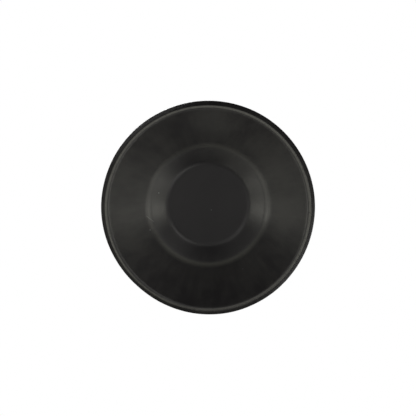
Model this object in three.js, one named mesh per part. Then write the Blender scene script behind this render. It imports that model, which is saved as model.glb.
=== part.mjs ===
// A sink plunger: a moulded rubber force cup on a turned wooden handle.
// Millimetres, +Z up. The plunger stands on its lip at z = 0, with its axis on Z.
// The cup is one moulding. It is two solids here, because its thin bell folds when the
// handle is pushed, while the thick crown and socket above it go down with the handle.

import * as THREE from 'three';

// The lip, which seals against the sink.
const CUP_RADIUS = 63.5;
const LIP_ROUND = 2.6;
const LIP_FLAT = 0.9;
const LIP_FILLET = 3.5;

// The bell, which flares from the ledge down to the lip. Slopes are from the horizontal.
const BELL_WALL = 4.0;
const RIM_SLOPE = 48;
const SHOULDER_SLOPE = 45;

// The ledge inside the top of the bell, and the shallow recess above it.
const LEDGE_RADIUS = 35.2;
const LEDGE_WIDTH = 3.2;
const LEDGE_SLOPE = 12;
const LEDGE_CORNER = 1.5;
const RECESS_SLOPE = 33;
const CEILING_RADIUS = 23.3;
const CEILING_FILLET = 5.0;

// The crown over the recess. The bell's share of it ends PARTING_RISE above the ledge.
const PARTING_RISE = 0.6;
const CROWN_RISE = 5.0;
const CROWN_SLOPE = 16;
const CROWN_ROUND = 8.0;
const WEB_THICKNESS = 4.0;

// The neck on the crown, with its collar and the blind socket for the handle.
const NECK_WALL = 6.6;
const NECK_FILLET = 6.0;
const COLLAR_HEIGHT = 8.0;
const COLLAR_PROUD = 2.0;
const COLLAR_ROUND = 1.6;
const SOCKET_DEPTH = 34.0;
const MOUTH_CHAMFER = 1.0;

// The handle, and the reduced tip on it that screws into the socket.
const OVERALL_HEIGHT = 330.0;
const HANDLE_RADIUS = 11.5;
const HANDLE_END_ROUND = 9.5;
const SHOULDER_STEP = 1.3;
const TIP_CHAMFER = 2.0;

// Clearances: between the tip and its bore, and between faces that meet.
const BORE_CLEARANCE = 0.3;
const SEAT_GAP = 0.3;

const CUP_SIDES = 64;
const HANDLE_SIDES = 40;

const sin = (degrees) => Math.sin(THREE.MathUtils.degToRad(degrees));
const cos = (degrees) => Math.cos(THREE.MathUtils.degToRad(degrees));
const tan = (degrees) => Math.tan(THREE.MathUtils.degToRad(degrees));
const point = (r, z) => new THREE.Vector2(r, z);

// Points on an arc about (r, z). The angle is 0 towards +r and 90 towards +z.
function arc(r, z, radius, from, to, steps) {
  const points = [];
  for (let i = 0; i <= steps; i++) {
    const angle = from + ((to - from) * i) / steps;
    points.push(point(r + radius * cos(angle), z + radius * sin(angle)));
  }
  return points;
}

// An arc that starts at a point on a face and turns from one slope of it to another. It bends
// about the hollow side where the slope falls, and about the rubber's side where it rises.
function bend(start, radius, before, after, steps) {
  const side = after < before ? 1 : -1;
  const r = start.x - side * radius * sin(before);
  const z = start.y - side * radius * cos(before);
  return arc(r, z, radius, side * 90 - before, side * 90 - after, steps);
}

// The hollow of the cup, from the lip's flat over the ledge to the edge of the flat ceiling.
function cupInside() {
  const fillet = bend(point(CUP_RADIUS - LIP_ROUND - LIP_FLAT, 0), LIP_FILLET, 0, RIM_SLOPE, 5);
  const rim = fillet.at(-1);
  const reach = rim.x - LEDGE_RADIUS - LEDGE_WIDTH;
  const sweep = reach / (sin(RIM_SLOPE) - sin(SHOULDER_SLOPE));
  const bell = bend(rim, sweep, RIM_SLOPE, SHOULDER_SLOPE, 6);
  const ledgeRound = LEDGE_WIDTH / (sin(SHOULDER_SLOPE) - sin(LEDGE_SLOPE));
  const ledge = bend(bell.at(-1), ledgeRound, SHOULDER_SLOPE, LEDGE_SLOPE, 3);
  const corner = bend(ledge.at(-1), LEDGE_CORNER, LEDGE_SLOPE, RECESS_SLOPE, 2);
  const foot = corner.at(-1);
  const wallTop = CEILING_RADIUS + CEILING_FILLET * sin(RECESS_SLOPE);
  const top = point(wallTop, foot.y + (foot.x - wallTop) * tan(RECESS_SLOPE));
  return {
    sweep,
    centre: point(rim.x - sweep * sin(RIM_SLOPE), rim.y - sweep * cos(RIM_SLOPE)),
    bell: [...fillet, ...bell.slice(1), ...ledge.slice(1), ...corner.slice(1)],
    foot,
    ceiling: bend(top, CEILING_FILLET, RECESS_SLOPE, 0, 4),
  };
}

const inside = cupInside();
const ceilingHeight = inside.ceiling.at(-1).y;
const partingHeight = inside.foot.y + PARTING_RISE;
const socketFloor = ceilingHeight + WEB_THICKNESS;
const neckTop = socketFloor + SOCKET_DEPTH;
const tipRadius = HANDLE_RADIUS - SHOULDER_STEP;
const boreRadius = tipRadius + BORE_CLEARANCE;

// A point on the straight wall of the recess.
function recessWall(height) {
  return point(inside.foot.x - (height - inside.foot.y) / tan(RECESS_SLOPE), height);
}

// The angle on the bell's outer face at a height, and the point there.
function outerAngle(height) {
  const share = (height - inside.centre.y) / (inside.sweep + BELL_WALL);
  return THREE.MathUtils.radToDeg(Math.asin(share));
}

function outerPoint(height) {
  const reach = (inside.sweep + BELL_WALL) * cos(outerAngle(height));
  return point(inside.centre.x + reach, height);
}

// The lip and the bell: a closed ring section, turned about the axis.
function cupBell() {
  const { sweep, centre, bell } = inside;
  const bead = arc(CUP_RADIUS - LIP_ROUND, LIP_ROUND, LIP_ROUND, -90, 90, 8);
  const low = outerAngle(2 * LIP_ROUND);
  const outside = arc(centre.x, centre.y, sweep + BELL_WALL, low, outerAngle(partingHeight), 6);
  const section = [...bead, ...outside, recessWall(partingHeight), ...[...bell].reverse(), bead[0]];
  return new THREE.LatheGeometry(section, CUP_SIDES);
}

// The crown with its closed web, and the neck with the blind socket for the handle.
function cupSocket() {
  const lowest = partingHeight + SEAT_GAP;
  const ceiling = [point(0, ceilingHeight), ...[...inside.ceiling].reverse()];
  const foot = outerPoint(lowest);
  const turn = CROWN_ROUND * tan((SHOULDER_SLOPE - CROWN_SLOPE) / 2);
  const edge = point(foot.x - CROWN_RISE / tan(SHOULDER_SLOPE), lowest + CROWN_RISE);
  const roundFoot = point(edge.x + turn * cos(SHOULDER_SLOPE), edge.y - turn * sin(SHOULDER_SLOPE));
  const crown = bend(roundFoot, CROWN_ROUND, SHOULDER_SLOPE, CROWN_SLOPE, 4);
  const neckRadius = boreRadius + NECK_WALL;
  const neckFoot = edge.y + (edge.x - neckRadius) * tan(CROWN_SLOPE);
  const spread = NECK_FILLET * tan((90 - CROWN_SLOPE) / 2);
  const filletFoot = point(neckRadius + spread * cos(CROWN_SLOPE), neckFoot - spread * sin(CROWN_SLOPE));
  const neck = bend(filletFoot, NECK_FILLET, CROWN_SLOPE, 90, 5);
  const collarCentre = neckRadius + COLLAR_PROUD - COLLAR_ROUND;
  const collarFoot = neckTop - COLLAR_HEIGHT;
  const collar = [
    point(neckRadius, collarFoot),
    ...arc(collarCentre, collarFoot + COLLAR_ROUND, COLLAR_ROUND, -60, 0, 2),
    ...arc(collarCentre, neckTop - COLLAR_ROUND, COLLAR_ROUND, 0, 90, 3),
  ];
  const socket = [
    point(boreRadius + MOUTH_CHAMFER, neckTop),
    point(boreRadius, neckTop - MOUTH_CHAMFER),
    point(boreRadius, socketFloor),
    point(0, socketFloor),
  ];
  const outline = [
    ...ceiling, recessWall(lowest), foot, ...crown, ...neck, ...collar, ...socket,
  ];
  return new THREE.LatheGeometry(outline, CUP_SIDES);
}

// The handle: a turned stick, with a shoulder above its tip and a rounded top end.
function handle() {
  const tipEnd = socketFloor + SEAT_GAP;
  const shoulder = neckTop + SEAT_GAP;
  const endHeight = OVERALL_HEIGHT - HANDLE_END_ROUND;
  const outline = [
    point(0, tipEnd),
    point(tipRadius - TIP_CHAMFER, tipEnd),
    point(tipRadius, tipEnd + TIP_CHAMFER),
    point(tipRadius, shoulder),
    point(HANDLE_RADIUS, shoulder),
    ...arc(HANDLE_RADIUS - HANDLE_END_ROUND, endHeight, HANDLE_END_ROUND, 0, 90, 7),
    point(0, OVERALL_HEIGHT),
  ];
  return new THREE.LatheGeometry(outline, HANDLE_SIDES);
}

// A lathe turns about Y, so each turned shape is stood up on Z.
function standing(name, geometry, color, roughness) {
  geometry.rotateX(Math.PI / 2);
  const material = new THREE.MeshStandardMaterial({ color, roughness, metalness: 0 });
  const mesh = new THREE.Mesh(geometry, material);
  mesh.name = name;
  return mesh;
}

const plunger = new THREE.Group();
plunger.name = 'sink_plunger';
plunger.add(
  standing('cup_bell', cupBell(), 0x2b2b29, 0.5),
  standing('cup_socket', cupSocket(), 0x2b2b29, 0.5),
  standing('handle', handle(), 0xcfa56e, 0.45),
);

export default plunger;
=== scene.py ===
"""A sink plunger: a moulded black rubber force cup on a turned beech handle, standing on its lip."""

from math import atan2, ceil, cos, degrees, pi, radians, sin, tan

import bmesh
import bpy
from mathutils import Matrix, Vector, noise


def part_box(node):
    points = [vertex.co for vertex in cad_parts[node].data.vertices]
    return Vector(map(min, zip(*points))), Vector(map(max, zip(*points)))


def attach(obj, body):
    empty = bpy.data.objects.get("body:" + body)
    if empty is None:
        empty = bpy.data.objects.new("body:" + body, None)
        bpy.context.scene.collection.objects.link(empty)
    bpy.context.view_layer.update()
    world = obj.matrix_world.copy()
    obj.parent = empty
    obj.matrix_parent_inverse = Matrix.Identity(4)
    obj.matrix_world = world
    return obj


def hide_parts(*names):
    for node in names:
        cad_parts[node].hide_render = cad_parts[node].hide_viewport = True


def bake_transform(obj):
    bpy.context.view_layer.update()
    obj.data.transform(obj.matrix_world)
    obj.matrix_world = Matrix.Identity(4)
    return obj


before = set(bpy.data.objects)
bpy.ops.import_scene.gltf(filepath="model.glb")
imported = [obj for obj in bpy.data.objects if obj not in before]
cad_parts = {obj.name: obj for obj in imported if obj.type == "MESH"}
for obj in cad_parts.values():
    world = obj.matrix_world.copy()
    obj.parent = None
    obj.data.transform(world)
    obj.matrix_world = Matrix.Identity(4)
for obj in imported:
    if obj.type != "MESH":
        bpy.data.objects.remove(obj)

scene = bpy.context.scene
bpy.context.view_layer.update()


# The camera stands under the plunger and looks up into the cup, a few degrees off its axis.
# It is far enough away that the cup's ceiling looks only a little smaller than it is.

CAMERA_DISTANCE = 0.9
CAMERA_TILT = 4.8
FRAME_WIDTH = 0.2457
AIM = Vector((0.0, -0.0003, 0.0))

lens = bpy.data.cameras.new("camera")
lens.lens = lens.sensor_width * CAMERA_DISTANCE / FRAME_WIDTH
camera = bpy.data.objects.new("camera", lens)
scene.collection.objects.link(camera)
view_up = Vector((0.0, sin(radians(CAMERA_TILT)), cos(radians(CAMERA_TILT))))
camera.location = AIM - view_up * CAMERA_DISTANCE
camera.rotation_mode = "QUATERNION"
camera.rotation_quaternion = view_up.to_track_quat("-Z", "Y")
scene.camera = camera


# The cup: one compression moulding of black rubber. The bell flares down from a soft crest to
# the rounded lip. Over the crest are a shallow recess with a flat closed ceiling, the crown, and
# the neck, with the blind socket that the handle is screwed into.

MM = 0.001
CUP_STEPS = 256
ROW = 1.6
LIP_ROUND = 2.6
LIP_EDGE = 1.0
LIP_FLAT = 0.7
LIP_FILLET = 2.4
FLANK_HEIGHT = 4.0
BELL_WALL = 4.0
RIM_SLOPE = 48
SHOULDER_SLOPE = 45
LEDGE_RADIUS = 34.4
LEDGE_WIDTH = 3.8
LEDGE_SLOPE = 28
LEDGE_CORNER = 6.0
RECESS_SLOPE = 33
CEILING_RADIUS = 23.5
CEILING_FILLET = 5.0
CROWN_RISE = 5.0
CROWN_SLOPE = 16
CROWN_ROUND = 8.0
BORE = 10.5
BORE_CHAMFER = 0.9
SEAT_GAP = 0.3
NECK_WALL = 6.6
NECK_FILLET = 6.0
COLLAR_HEIGHT = 8.0
COLLAR_PROUD = 2.0
COLLAR_ROUND = 1.6
SMALL_ROUND = 0.5
ARC_STEP = 7
WELD = 1e-6

cup_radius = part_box("cup_bell")[1].x / MM
neck_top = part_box("cup_socket")[1].z / MM
socket_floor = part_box("handle")[0].z / MM - SEAT_GAP


def crossing(a, slope_a, b, slope_b):
    """Where two lines through (radius, height) points meet. A slope leans in towards the axis."""
    ax, ay = -cos(radians(slope_a)), sin(radians(slope_a))
    bx, by = -cos(radians(slope_b)), sin(radians(slope_b))
    share = ((b[0] - a[0]) * by - (b[1] - a[1]) * bx) / (ax * by - ay * bx)
    return a[0] + share * ax, a[1] + share * ay


def along(start, slope_a, slope_b, reach):
    """An arc from a point, turning from one slope to another over a reach: its end and radius."""
    rounding = reach / (sin(radians(slope_a)) - sin(radians(slope_b)))
    rise = rounding * (cos(radians(slope_b)) - cos(radians(slope_a)))
    return (start[0] - reach, start[1] + rise), rounding


def offset(point, slope, wall):
    """A point of the outer face, a wall away from a point of the inner face with this slope."""
    return point[0] + wall * sin(radians(slope)), point[1] + wall * cos(radians(slope))


def turned(name, corners, steps):
    """Turns a section about Z. Each corner is (radius, height, round), in millimetres."""
    bm = bmesh.new()
    verts = [bm.verts.new((r * MM, 0.0, z * MM)) for r, z, _ in corners]
    for a, b in zip(verts, verts[1:]):
        bm.edges.new((a, b))
    for i in range(1, len(corners) - 1):
        rounding = corners[i][2]
        if not rounding:
            continue
        here = Vector(corners[i][:2])
        turn = (here - Vector(corners[i - 1][:2])).angle(Vector(corners[i + 1][:2]) - here)
        reach = rounding * tan(turn / 2)
        segments = max(2, ceil(degrees(turn) / ARC_STEP), ceil(rounding * turn / ROW))
        bmesh.ops.bevel(
            bm, geom=[verts[i]], offset=reach * MM, offset_type="OFFSET", segments=segments,
            profile=0.5, affect="VERTICES", material=-1,
        )
    for edge in list(bm.edges):
        cuts = int(edge.calc_length() / (ROW * MM))
        if cuts:
            bmesh.ops.subdivide_edges(bm, edges=[edge], cuts=cuts)
    bmesh.ops.spin(
        bm, geom=bm.verts[:] + bm.edges[:], cent=(0, 0, 0), axis=(0, 0, 1), angle=2 * pi,
        steps=steps, use_merge=True,
    )
    bmesh.ops.remove_doubles(bm, verts=bm.verts[:], dist=WELD)
    bmesh.ops.recalc_face_normals(bm, faces=bm.faces[:])
    mesh = bpy.data.meshes.new(name)
    bm.to_mesh(mesh)
    bm.free()
    mesh.shade_smooth()
    piece = bpy.data.objects.new(name, mesh)
    scene.collection.objects.link(piece)
    return piece


flat_inner = cup_radius - LIP_ROUND - LIP_FLAT
rim = (flat_inner - LIP_FILLET * sin(radians(RIM_SLOPE)), LIP_FILLET * (1 - cos(radians(RIM_SLOPE))))
shoulder, sweep = along(rim, RIM_SLOPE, SHOULDER_SLOPE, rim[0] - LEDGE_RADIUS - LEDGE_WIDTH)
ledge, ledge_round = along(shoulder, SHOULDER_SLOPE, LEDGE_SLOPE, LEDGE_WIDTH)
wall_foot = (
    ledge[0] - LEDGE_CORNER * (sin(radians(RECESS_SLOPE)) - sin(radians(LEDGE_SLOPE))),
    ledge[1] + LEDGE_CORNER * (cos(radians(LEDGE_SLOPE)) - cos(radians(RECESS_SLOPE))),
)
wall_top = CEILING_RADIUS + CEILING_FILLET * sin(radians(RECESS_SLOPE))
ceiling = wall_foot[1] + (wall_foot[0] - wall_top) * tan(radians(RECESS_SLOPE))
ceiling += CEILING_FILLET * (1 - cos(radians(RECESS_SLOPE)))
lip_corner = crossing((0, 0), 0, rim, RIM_SLOPE)
bell_corner = crossing(rim, RIM_SLOPE, shoulder, SHOULDER_SLOPE)
ledge_outer = crossing(shoulder, SHOULDER_SLOPE, ledge, LEDGE_SLOPE)
ledge_inner = crossing(ledge, LEDGE_SLOPE, wall_foot, RECESS_SLOPE)
ceiling_corner = crossing((0, ceiling), 0, wall_foot, RECESS_SLOPE)

rim_out = offset(rim, RIM_SLOPE, BELL_WALL)
shoulder_out = offset(shoulder, SHOULDER_SLOPE, BELL_WALL)
bead_neck = crossing((0, 2 * LIP_ROUND), 0, rim_out, RIM_SLOPE)
bell_out = crossing(rim_out, RIM_SLOPE, shoulder_out, SHOULDER_SLOPE)
crown = (shoulder_out[0] - CROWN_RISE / tan(radians(SHOULDER_SLOPE)), shoulder_out[1] + CROWN_RISE)
neck = BORE + NECK_WALL
collar = neck + COLLAR_PROUD

cup = turned(
    "cup",
    [
        (0, ceiling, 0),
        (*ceiling_corner, CEILING_FILLET),
        (*ledge_inner, LEDGE_CORNER),
        (*ledge_outer, ledge_round),
        (*bell_corner, sweep),
        (*lip_corner, LIP_FILLET),
        (cup_radius - LIP_ROUND, 0, LIP_EDGE),
        (cup_radius, FLANK_HEIGHT, SMALL_ROUND),
        (cup_radius, 2 * LIP_ROUND, SMALL_ROUND),
        (*bead_neck, LIP_ROUND),
        (*bell_out, sweep),
        (*crown, CROWN_ROUND),
        (neck, crown[1] + (crown[0] - neck) * tan(radians(CROWN_SLOPE)), NECK_FILLET),
        (neck, neck_top - COLLAR_HEIGHT, SMALL_ROUND),
        (collar, neck_top - COLLAR_HEIGHT, COLLAR_ROUND),
        (collar, neck_top, COLLAR_ROUND),
        (BORE, neck_top, BORE_CHAMFER),
        (BORE, socket_floor, SMALL_ROUND),
        (0, socket_floor, 0),
    ],
    CUP_STEPS,
)
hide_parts("cup_bell", "cup_socket")

# The moulding is never quite true: its lip is a hair out of round, with a bulge and a dip, and
# the bell waves a little. All of it fades out towards the crown.
OVAL = 0.15 * MM
BULGE = 0.6 * MM
BULGE_ANGLE = 1.3
DIP = 0.9 * MM
DIP_ANGLE = 2.3
OVAL_TURN = 2
BULGE_POWER = 3
DIP_POWER = 6
WAVE = 0.10 * MM
WAVE_SCALE = 55
TRUE_HEIGHT = 30 * MM
for vertex in cup.data.vertices:
    flat = Vector((vertex.co.x, vertex.co.y, 0))
    if flat.length < MM:
        continue
    angle = atan2(flat.y, flat.x)
    move = WAVE * noise.noise(vertex.co * WAVE_SCALE) - OVAL * sin(OVAL_TURN * angle)
    move += BULGE * max(0.0, cos(angle - BULGE_ANGLE)) ** BULGE_POWER
    move -= DIP * max(0.0, cos(angle - DIP_ANGLE)) ** DIP_POWER
    vertex.co += flat.normalized() * move * max(0.0, 1 - vertex.co.z / TRUE_HEIGHT)


class Value:
    """A socket's value in a shader sum, so that maths on it is written as an expression."""

    def __init__(self, nodes, socket):
        self.nodes = nodes
        self.socket = socket

    def math(self, operation, other=None):
        values = {0: self} if other is None else {0: self, 1: other}
        return self.nodes.add("ShaderNodeMath", {"operation": operation}, values)

    def __add__(self, other):
        return self.math("ADD", other)

    def __sub__(self, other):
        return self.math("SUBTRACT", other)

    def __mul__(self, other):
        return self.math("MULTIPLY", other)

    def __truediv__(self, other):
        return self.math("DIVIDE", other)

    def __radd__(self, other):
        return self.math("ADD", other)

    def __rmul__(self, other):
        return self.math("MULTIPLY", other)

    def __rsub__(self, other):
        return self.math("MULTIPLY", -1).math("ADD", other)

    def power(self, other):
        return self.math("POWER", other)

    def absolute(self):
        return self.math("ABSOLUTE")

    def between(self, low, high):
        """0 below low and 1 above high, with a smooth step between them."""
        return self.nodes.add(
            "ShaderNodeMapRange", {"interpolation_type": "SMOOTHSTEP"},
            {"Value": self, "From Min": low, "From Max": high},
        )

    def near(self, middle, half, soft):
        """1 within half of the middle, falling smoothly to 0 over soft."""
        return 1 - (self - middle).absolute().between(half, half + soft)


class Nodes:
    """The node tree of a material or a world. add() is the only way in which a node is made."""

    def __init__(self, owner):
        self.owner = owner
        owner.use_nodes = True
        self.tree = owner.node_tree
        self.tree.nodes.clear()

    def add(self, kind, settings=None, sockets=None, output=0):
        node = self.tree.nodes.new(kind)
        for key, value in (settings or {}).items():
            setattr(node, key, value)
        for key, value in (sockets or {}).items():
            if isinstance(value, Value):
                self.tree.links.new(value.socket, node.inputs[key])
            else:
                node.inputs[key].default_value = value
        return Value(self, node.outputs[output] if node.outputs else None)

    def place(self):
        return self.add("ShaderNodeTexCoord", output="Object")

    def parts(self, vector):
        """The x, y and z of a vector."""
        first = self.add("ShaderNodeSeparateXYZ", None, {0: vector})
        return [Value(self, socket) for socket in first.socket.node.outputs]

    def noise(self, vector, scale, detail, rough):
        sockets = {"Vector": vector, "Scale": scale, "Detail": detail, "Roughness": rough}
        return self.add("ShaderNodeTexNoise", None, sockets, "Fac")

    def mix(self, share, a, b):
        """Mixes two colours."""
        return self.add("ShaderNodeMix", {"data_type": "RGBA"}, {0: share, 6: a, 7: b}, 2)

    def bump(self, height, distance, strength):
        sockets = {"Height": height, "Distance": distance, "Strength": strength}
        return self.add("ShaderNodeBump", None, sockets, "Normal")

    def output(self, shader, kind="ShaderNodeOutputMaterial"):
        self.add(kind, None, {"Surface": shader})


RUBBER = (0.0158, 0.0148, 0.0164, 1)
RUBBER_LIGHT = (0.0275, 0.0265, 0.0266, 1)
# a painted highlight for the crest of the ledge, not wear
PAINTED_CREST_HIGHLIGHT = (0.062, 0.062, 0.055, 1)
# chalky wear on the lip, made lighter still as a painted highlight along its edge
CHALKY_WEAR_AND_PAINTED_HIGHLIGHT = (0.150, 0.150, 0.135, 1)
GRIT = (0.30, 0.31, 0.32, 1)
LIP_LINE = (cup_radius - LIP_ROUND - LIP_FLAT) * MM
LIP_LINE_TOP = 0.8 * MM
LIP_LINE_END = 1.6 * MM
CREST = (LEDGE_RADIUS + 1.1) * MM
CREST_TOP = 24 * MM
CREST_END = 25 * MM
SCRATCH_START = (-37.5 * MM, 6.0 * MM)
SCRATCH_END = (-32.6 * MM, 10.4 * MM)
SCRATCH_HALF = 0.08 * MM
SCRATCH_SOFT = 0.14 * MM
SCRATCH_WANDER = 1.2 * MM
SCRATCH_TAPER = 0.8 * MM
SPECKS = [(-35.1, 14.9, 0.35), (-29.9, -7.2, 0.42), (2.0, 3.5, 0.30), (21.0, 38.0, 0.22)]

rubber = Nodes(bpy.data.materials.new("moulded_rubber"))
place = rubber.place()
x, y, z = rubber.parts(place)
radius = (x * x + y * y).power(0.5)
facing = rubber.add("ShaderNodeCombineXYZ", None, {"X": x / radius, "Y": y / radius, "Z": radius * 8})
mottle = rubber.noise(place, 38, 4, 0.6)
grain = rubber.noise(place, 900, 3, 0.6)
streaks = rubber.noise(facing, 14, 5, 0.6) * radius.between(22 * MM, 42 * MM)
nicks = rubber.noise(facing, 60, 3, 0.7)

# The lip is rubbed chalky where it meets the sink, and the same line also carries a painted highlight
# along its edge, least on the side that is towards +Y. The crest of the ledge carries a painted
# highlight, strongest on that side.
# A side weight for the painted light on the lip and the crest: 1 towards +Y.
painted_light_plus_y_side = (y / radius).between(0.2, 1.0)
lip_line = radius.near(LIP_LINE, 0.35 * MM, 0.5 * MM) * (1 - z.between(LIP_LINE_TOP, LIP_LINE_END))
# The lip's light line: part real wear, part painted highlight, weaker towards +Y.
lip_wear_and_painted_highlight = lip_line * nicks.between(0.22, 0.50) * (0.74 - painted_light_plus_y_side * 0.35)
crest = radius.near(CREST, 0.3 * MM, 2.9 * MM) * (1 - z.between(CREST_TOP, CREST_END))
scratch_way = Vector(SCRATCH_END) - Vector(SCRATCH_START)
scratch_half_length = scratch_way.length / 2
scratch_way.normalize()
from_x = x - SCRATCH_START[0]
from_y = y - SCRATCH_START[1]
run = from_x * scratch_way.x + from_y * scratch_way.y
aside = from_y * scratch_way.x - from_x * scratch_way.y + (mottle - 0.5) * SCRATCH_WANDER
scratch = aside.near(0, SCRATCH_HALF, SCRATCH_SOFT)
scratch *= run.near(scratch_half_length, scratch_half_length - SCRATCH_TAPER, SCRATCH_TAPER)
inside = 1 - z.between((ceiling + 1) * MM, (ceiling + 2) * MM)
grit = scratch * 0.20
for speck_x, speck_y, size in SPECKS:
    across = x - speck_x * MM
    down = y - speck_y * MM
    half = size / 2 * MM
    grit += (across * across + down * down).power(0.5).near(0, half, half) * 0.5

bloom = (mottle * 0.6 + streaks * 0.4).between(0.36, 0.64)
skin = rubber.mix(bloom, RUBBER, RUBBER_LIGHT)
# Painted highlight on the crest of the ledge, strongest towards +Y.
painted_crest_highlight = crest * ((y / radius).absolute() * 0.35 + painted_light_plus_y_side * 0.65)
skin = rubber.mix(painted_crest_highlight, skin, PAINTED_CREST_HIGHLIGHT)
skin = rubber.mix(lip_wear_and_painted_highlight * 0.8, skin, CHALKY_WEAR_AND_PAINTED_HIGHLIGHT)
colour = rubber.mix(grit * inside, skin, GRIT)
roughness = 0.30 + mottle * 0.20 + streaks * 0.08
normal = rubber.bump(grain + streaks * 0.4, 0.06 * MM, 0.5)
rubber_skin = rubber.add(
    "ShaderNodeBsdfPrincipled", None,
    {"Base Color": colour, "Roughness": roughness, "Normal": normal},
)
rubber.output(rubber_skin)
cup.data.materials.append(rubber.owner)

# The thin bell of the real plunger folds between the lip, which stays on the sink, and the ceiling,
# which goes down with the handle. Only the height of that fold, below the ceiling, is worked out
# here, and nothing uses it.
FOLD_BELOW_CEILING = 5.0
fold_end = ceiling - FOLD_BELOW_CEILING
fold_end * MM
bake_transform(cup)


# The handle: a beech stick turned on a lathe, with a shoulder that seats on the collar and a
# reduced tip that screws into the socket. Its top end is rounded off for the palm.

HANDLE_STEPS = 128
HANDLE_END = 9.5
TIP = 10.2
TIP_ROUND = 1.6
handle_low, handle_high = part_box("handle")
handle_radius = handle_high.x / MM

handle = turned(
    "wooden_handle",
    [
        (0, handle_low.z / MM, 0),
        (TIP, handle_low.z / MM, TIP_ROUND),
        (TIP, neck_top + SEAT_GAP, 0),
        (handle_radius, neck_top + SEAT_GAP, SMALL_ROUND),
        (handle_radius, handle_high.z / MM, HANDLE_END),
        (0, handle_high.z / MM, 0),
    ],
    HANDLE_STEPS,
)
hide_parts("handle")

PALE_WOOD = (0.66, 0.43, 0.22, 1)
DARK_WOOD = (0.46, 0.265, 0.115, 1)
RAY_FLECK = (0.30, 0.16, 0.07, 1)
RING_SPACING = 2.2 * MM
HEART_AWAY = 60 * MM
RING_BOW = 6 * MM

# The stick is sawn off the heart of the tree, so the growth rings pass through it side by side,
# nearly flat. They bow slowly along it, and show on the round end too.
wood = Nodes(bpy.data.materials.new("turned_beech"))
place = wood.place()
long_grain = wood.add("ShaderNodeMapping", None, {"Vector": place, "Scale": (1, 1, 0.05)})
x, y, z = wood.parts(place)
bow = wood.noise(long_grain, 60, 3, 0.5)
fibre = wood.noise(long_grain, 900, 3, 0.6)
heart = (x + HEART_AWAY).power(2) + y.power(2)
rings = (heart.power(0.5) + (bow - 0.5) * RING_BOW) * (2 * pi / RING_SPACING)
late = rings.math("SINE").between(0.0, 1.0)
flecks = fibre.between(0.60, 0.70)
colour = wood.mix(late * 0.55 + bow * 0.25, PALE_WOOD, DARK_WOOD)
colour = wood.mix(flecks * 0.45, colour, RAY_FLECK)
varnish = wood.add(
    "ShaderNodeBsdfPrincipled", None,
    {
        "Base Color": colour, "Roughness": 0.40 + fibre * 0.15,
        "Normal": wood.bump(fibre, 0.1 * MM, 0.3), "Coat Weight": 0.3, "Coat Roughness": 0.2,
    },
)
wood.output(varnish)
handle.data.materials.append(wood.owner)
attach(handle, "handle")


# The floor is a plain pale sheet that fades out into the white around it. It is clear from
# underneath, so that the cup can be seen from below, and it takes no part in lighting the cup.

FLOOR_REACH = 3.0
FADE_START = 0.25
FADE_END = 1.0
bm = bmesh.new()
bmesh.ops.create_grid(bm, x_segments=1, y_segments=1, size=FLOOR_REACH)
floor_mesh = bpy.data.meshes.new("floor")
bm.to_mesh(floor_mesh)
bm.free()
floor = bpy.data.objects.new("floor", floor_mesh)
scene.collection.objects.link(floor)
paper = Nodes(bpy.data.materials.new("pale_floor"))
sheet = paper.add(
    "ShaderNodeBsdfPrincipled", None, {"Base Color": (0.80, 0.80, 0.79, 1), "Roughness": 0.9},
)
clear = paper.add("ShaderNodeBsdfTransparent")
underneath = paper.add("ShaderNodeNewGeometry", output="Backfacing")
x, y, z = paper.parts(paper.place())
kept = 1 - (x * x + y * y).power(0.5).between(FADE_START, FADE_END)
share = 1 - kept * (1 - underneath)
paper.output(paper.add("ShaderNodeMixShader", None, {0: share, 1: sheet, 2: clear}))
floor_mesh.materials.append(paper.owner)
floor.visible_diffuse = False
floor.visible_glossy = False
floor.visible_shadow = False


# Soft studio light. Round lamps stand in a ring under the cup and light its inside, strongest
# from the left and right, and two square ones above light the crown and the handle. The world
# is white to the camera only.

LAMP_DISTANCE = 1.0
RING_LAMP = 0.30
WIDE_LAMP = 0.65
HIGH_LAMP = 0.8
HIGH_AIM = Vector((0, 0, 0.15))
WARM = (1.0, 0.995, 0.89)
SOFT_WHITE = (1.0, 0.985, 0.95)
WHITE = (1.0, 1.0, 1.0)
WORLD_GLOW = 0.01


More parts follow.
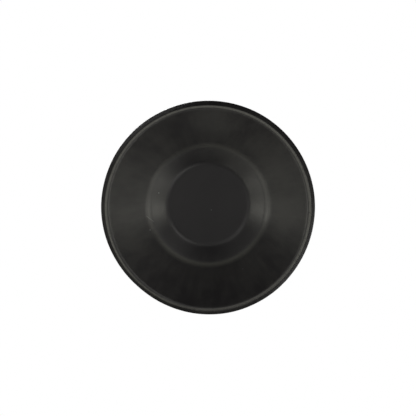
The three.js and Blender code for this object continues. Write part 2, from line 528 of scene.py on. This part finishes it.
def lamp(name, shape, size, power, place, aim, colour):
    light = bpy.data.lights.new(name, "AREA")
    light.shape = shape
    light.size = size
    light.energy = power
    light.color = colour
    holder = bpy.data.objects.new(name, light)
    scene.collection.objects.link(holder)
    holder.location = place
    holder.rotation_mode = "QUATERNION"
    holder.rotation_quaternion = (aim - place).to_track_quat("-Z", "Y")
    holder.visible_camera = False


def ring_lamp(name, tilt, turn, power, size=RING_LAMP, colour=WARM):
    """A lamp tilted from straight below, at a turn about the axis from +X towards +Y."""
    level = sin(radians(tilt))
    way = Vector((level * cos(radians(turn)), level * sin(radians(turn)), -cos(radians(tilt))))
    lamp(name, "DISK", size, power, way * LAMP_DISTANCE, Vector((0, 0, 0)), colour)


ring_lamp("right_low", 70, 0, 2.20)
ring_lamp("left_low", 70, 180, 2.00)
ring_lamp("left_near", 70, 150, 1.23)
ring_lamp("right_near", 70, 30, 1.16)
ring_lamp("near_left", 62, 120, 0.52)
ring_lamp("right_front", 40, 45, 1.70, WIDE_LAMP, SOFT_WHITE)
ring_lamp("right_far", 40, 315, 1.53, WIDE_LAMP, SOFT_WHITE)
ring_lamp("left_far", 40, 225, 0.92, WIDE_LAMP, SOFT_WHITE)
ring_lamp("front", 20, 180, 0.88, WIDE_LAMP, SOFT_WHITE)
ring_lamp("near_edge", 77, 90, 0.62)
lamp("high_key", "SQUARE", HIGH_LAMP, 28, Vector((-0.5, -0.6, 1.5)), HIGH_AIM, WHITE)
lamp("high_fill", "SQUARE", HIGH_LAMP, 12, Vector((0.6, 0.35, 1.4)), HIGH_AIM, WHITE)

world = bpy.data.worlds.new("studio")
scene.world = world
studio = Nodes(world)
seen = studio.add("ShaderNodeLightPath", output="Is Camera Ray")
glow = studio.add("ShaderNodeBackground", None, {"Color": (1, 1, 1, 1), "Strength": WORLD_GLOW})
white = studio.add("ShaderNodeBackground", None, {"Color": (1, 1, 1, 1), "Strength": 1.0})
studio.output(
    studio.add("ShaderNodeMixShader", None, {0: seen, 1: glow, 2: white}), "ShaderNodeOutputWorld",
)
scene.view_settings.view_transform = "Standard"
